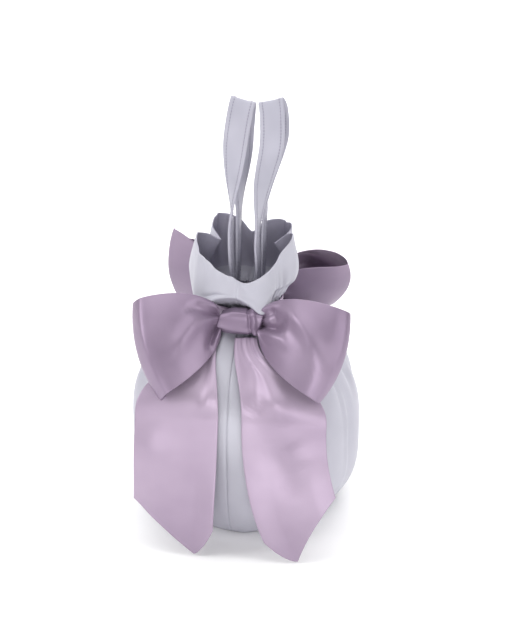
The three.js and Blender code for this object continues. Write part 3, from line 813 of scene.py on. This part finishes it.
def tail(name, label, side, start_x, hinge_x, sweep, back, seed, pleating, marks):
    """One tail: gathered under the knot, over the shoulder, and hanging clear of the belly."""
    bend = max(math.radians(sweep), 1e-3)
    point_reach = (POINT_PLACE - 0.5) * RIBBON
    length = (HINGE_HEIGHT - TAIL_END - point_reach * math.sin(bend)) * bend / math.sin(bend)
    rows_up, rows_down = 80, 130
    s, w = grid(rows_up, 60)
    v = 2 * w - 1
    reach, height = (values[:, None] for values in shoulder_path(rows_up))
    spread = ease(s, 0, 0.95)
    half = mix(GATHERED_HALF, RIBBON / 2, spread)
    x = mix(start_x, hinge_x, spread) + v * half
    wrap = 0.6 * (1 - s)
    round_body = np.sqrt(np.maximum(reach ** 2 - x ** 2, 100))
    y = -mix(reach + 0 * x, round_body, wrap)
    pleats = 1.5 * np.sin(2.7 * math.pi * v + seed) + 0.6 * np.sin(5.3 * math.pi * v + 2 * seed)
    pleats = pleats * pleating * (1 - ease(s, 0, 0.8))
    upper = clear_of_body(np.stack([x, y - pleats, height + 0 * x + 0.5 * pleats], -1), TAIL_LIFT - 0.5)

    s, w = grid(rows_down, 60)
    inner = w if side < 0 else 1 - w
    over = (inner - POINT_PLACE) / (1 - POINT_PLACE)
    cut = np.where(inner < POINT_PLACE, CUT_RISE * (1 - inner / POINT_PLACE),
                   INNER_RISE * np.clip(over, 0, 1) ** 1.5)
    run = s * (1 - cut / length)
    turn = bend * run
    across = (0.5 - inner) * RIBBON
    out_x = length * (1 - np.cos(turn)) / bend + across * np.cos(turn)
    down = length * np.sin(turn) / bend - across * np.sin(turn)
    flare = TAIL_FLARE * (1 - (1 - np.clip(run, 0, 1)) ** 2)
    wave = 2.2 * np.sin(2.2 * math.pi * run + 2.4 * inner + seed) * ease(run, 0.05, 0.5)
    curl = (-4.5 * ease(inner, 0.72, 1) * ease(run, 0.2, 0.9)
            + 2.5 * ease(1 - inner, 0.75, 1) * ease(run, 0.1, 0.7))
    y = -HINGE_REACH - flare - wave * 0.6 + curl
    lower = np.stack([hinge_x + side * out_x, y, HINGE_HEIGHT - down], -1)
    points = np.concatenate([upper[:-1], lower])
    points = soften(points, 30)
    lift = marks_lift(points[..., 0], points[..., 2], marks)
    points[..., 1] -= lift
    piece = cloth(name, turned(points, back), 0.8, RIBBON_SATIN, flip=True)
    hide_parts(label, label + "_upper")
    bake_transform(piece)


def neck_band():
    """The ribbon round the gathered neck."""
    s, w = grid(26, 201)
    low, high = corner("neck_band", False), corner("neck_band", True)
    angle = 2 * math.pi * w
    crease = 0.35 * np.sin(3 * math.pi * s + 2 * np.sin(3 * angle))
    x = (high[0] - 0.7 + crease) * np.cos(angle)
    y = (high[1] - 0.7 + crease) * np.sin(angle)
    z = mix(low[2] - 3, high[2], s)
    points = np.stack([x, y, z], -1)
    ring_cloth("ribbon_band", "neck_band", points, 0.9)


def ring_cloth(name, node, points, thickness):
    """A closed band of cloth: a grid whose last column meets its first."""
    rows, columns = points.shape[:2]
    ring = columns - 1
    normal = grid_normals(points)[:, :-1]
    body = points[:, :-1]
    front = (body + normal * thickness / 2).reshape(-1, 3)
    rear = (body - normal * thickness / 2).reshape(-1, 3)
    vertices = np.concatenate([front, rear]) * MM
    count = rows * ring
    faces = []
    for j in range(ring):
        n = (j + 1) % ring
        for i in range(rows - 1):
            quad = [i * ring + j, (i + 1) * ring + j, (i + 1) * ring + n, i * ring + n]
            faces.append(quad)
            faces.append([q + count for q in reversed(quad)])
        faces.append([j, n, n + count, j + count])
        last = (rows - 1) * ring
        faces.append([last + n, last + j, last + j + count, last + n + count])
    mesh = bpy.data.meshes.new(name)
    mesh.from_pydata(vertices.tolist(), [], faces)
    layer = mesh.uv_layers.new(name="cut")
    for loop in mesh.loops:
        i, j = divmod(loop.vertex_index % count, ring)
        layer.data[loop.index].uv = (j / ring * 0.2, i / rows * 0.02)
    mesh.polygons.foreach_set("use_smooth", [True] * len(mesh.polygons))
    mesh.materials.append(RIBBON_SATIN)
    mesh.validate()
    piece = bpy.data.objects.new(name, mesh)
    bpy.context.scene.collection.objects.link(piece)
    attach(piece, "bag")
    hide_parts(node)


# ---- Studio ----
def studio():
    scene = bpy.context.scene
    target = Vector((9 * MM, 0, 171 * MM))
    azimuth, elevation, distance = math.radians(9), math.radians(22), 1.2
    back = Vector((math.sin(azimuth) * math.cos(elevation),
                   -math.cos(azimuth) * math.cos(elevation), math.sin(elevation)))
    lens = bpy.data.cameras.new("camera")
    lens.lens = 77
    lens.sensor_fit = "VERTICAL"
    lens.sensor_height = 36
    camera = bpy.data.objects.new("camera", lens)
    camera.location = target + back * distance
    camera.rotation_euler = (-back).to_track_quat("-Z", "Y").to_euler()
    scene.collection.objects.link(camera)
    scene.camera = camera

    bpy.ops.mesh.primitive_plane_add(size=14, location=(0, 0, 0))
    floor = bpy.context.object
    floor.name = "floor"
    material, _, _, shader = new_material("floor")
    shader.inputs["Base Color"].default_value = (0.93, 0.93, 0.93, 1)
    shader.inputs["Roughness"].default_value = 0.9
    floor.data.materials.append(material)

    def softbox(name, place, aim, size, power):
        light = bpy.data.lights.new(name, "AREA")
        light.shape = "RECTANGLE"
        light.size, light.size_y = size
        light.energy = power
        box = bpy.data.objects.new(name, light)
        box.location = place
        box.rotation_euler = (Vector(aim) - Vector(place)).to_track_quat("-Z", "Y").to_euler()
        scene.collection.objects.link(box)

    softbox("key", (-1.5, -0.7, 1.1), (0, 0, 0.15), (0.8, 1.2), 16)
    softbox("fill", (1.5, -0.5, 0.8), (0, 0, 0.15), (0.6, 1.2), 8)
    softbox("top", (0.1, -0.2, 2.2), (0, 0, 0), (2.4, 2.0), 25)
    softbox("front", (0.3, -1.8, 0.3), (0, 0, 0.13), (1.2, 0.7), 11)
    softbox("backdrop", (0, 2.3, 1.8), (0, 2.4, 0), (4, 2.4), 130)
    world = bpy.data.worlds.new("studio")
    world.use_nodes = True
    world.node_tree.nodes["Background"].inputs["Color"].default_value = (1, 1, 1, 1)
    world.node_tree.nodes["Background"].inputs["Strength"].default_value = 0.42
    scene.world = world
    scene.view_settings.view_transform = "Standard"


# ---- Build ----
studio()
for side in (-1, 1):
    body_panel(side)
    lining_half(side)
    collar_half(side)
    handle(side)
round_panel("base_panel", "base_fabric", 2.4, 0.6, 1.2, SATIN)
round_panel("lining_floor", "lining_base", 3.2, 4.7, 0.8, LINING)
neck_band()

bow_knot("front_knot_wrap", "front_bow_knot", False)
bow_knot("back_knot_wrap", "back_bow_knot", True)
LEFT_FOLDS = [
    ([(6, -7), (13, -14), (18, -22)], 3.2, -5.5, "far"),
    ([(3, -9), (8, -18), (12, -26)], 3.0, 2.5, "far"),
    ([(4, 5), (18, 12), (34, 14)], 5.0, -3.2, "far"),
    ([(10, 0), (26, 0), (40, -10), (46, -22)], 7.0, 3.2, "both"),
]
RIGHT_FOLDS = [
    ([(2, -1), (14, -1), (30, 2)], 3.4, -7.0, "far"),
    ([(10, 3), (22, 4), (34, 3)], 6.5, -5.0, "both"),
    ([(4, -8), (16, -7), (30, -6), (42, -12)], 4.0, 3.0, "far"),
    ([(16, 15), (36, 14), (52, 6), (62, -10), (64, -26)], 7.5, 5.0, "both"),
    ([(8, 9), (18, 12)], 2.4, -2.4, "both"),
]
BACK_FOLDS = [
    ([(4, 2), (20, 6), (36, 4)], 5.0, -3.5, "far"),
    ([(10, 12), (34, 12), (56, 2)], 7.0, 3.0, "both"),
    ([(6, -8), (24, -12), (38, -22)], 5.0, -3.0, "far"),
]
bow_loop("front_loop_left", "front_bow_loop_left", -1, (-86, -60, 203), (-54, -104, 137), False,
         CREASED_LOOP, LEFT_FOLDS)
bow_loop("front_loop_right", "front_bow_loop_right", 1, (96, -60, 206), (76, -100, 142), False,
         ROUND_LOOP, RIGHT_FOLDS)
bow_loop("back_loop_right", "back_bow_loop_right", -1, (-83, -56, 209), (-68, -92, 157), True,
         ROUND_LOOP, BACK_FOLDS)
bow_loop("back_loop_left", "back_bow_loop_left", 1, (74, -56, 223), (80, -88, 158), True,
         FLAT_LOOP, BACK_FOLDS, inner_top=11)
tail("front_ribbon_tail_left", "front_tail_left", -1, -25, -42, 2, False, 0.4, 0.5,
     [([(-12, 158), (-16, 140), (-19, 118)], 5.0, 2.0, "far"),
      ([(-60, 120), (-66, 80)], 12.0, 1.5, "both")])
tail("front_ribbon_tail_right", "front_tail_right", 1, 9, 48, 31, False, 1.7, 0.3,
     [([(14, 168), (18, 154), (23, 138), (26, 122)], 9.0, -4.5, "both"),
      ([(0, 172), (3, 152), (7, 124)], 7.0, 3.0, "far"),
      ([(26, 166), (38, 148), (50, 116)], 10.0, 5.0, "far"),
      ([(30, 112), (46, 88), (62, 54)], 13.0, -2.2, "both"),
      ([(52, 108), (66, 84)], 12.0, 1.6, "both")])
tail("back_ribbon_tail_right", "back_tail_right", -1, -10, -44, 12, True, 2.9, 1,
     [([(-20, 160), (-30, 140)], 7.0, -3.0, "both"), ([(-40, 90), (-60, 60)], 9.0, 2.5, "both")])
tail("back_ribbon_tail_left", "back_tail_left", 1, 10, 44, 8, True, 4.2, 1,
     [([(18, 160), (30, 140)], 7.0, -3.0, "both"), ([(44, 80), (58, 50)], 9.0, -2.5, "both")])

for node, material in (("base_board", BOARD), ("neck_elastic", ELASTIC)):
    carried = frame["nodes"][node]
    carried.data.materials.clear()
    carried.data.materials.append(material)
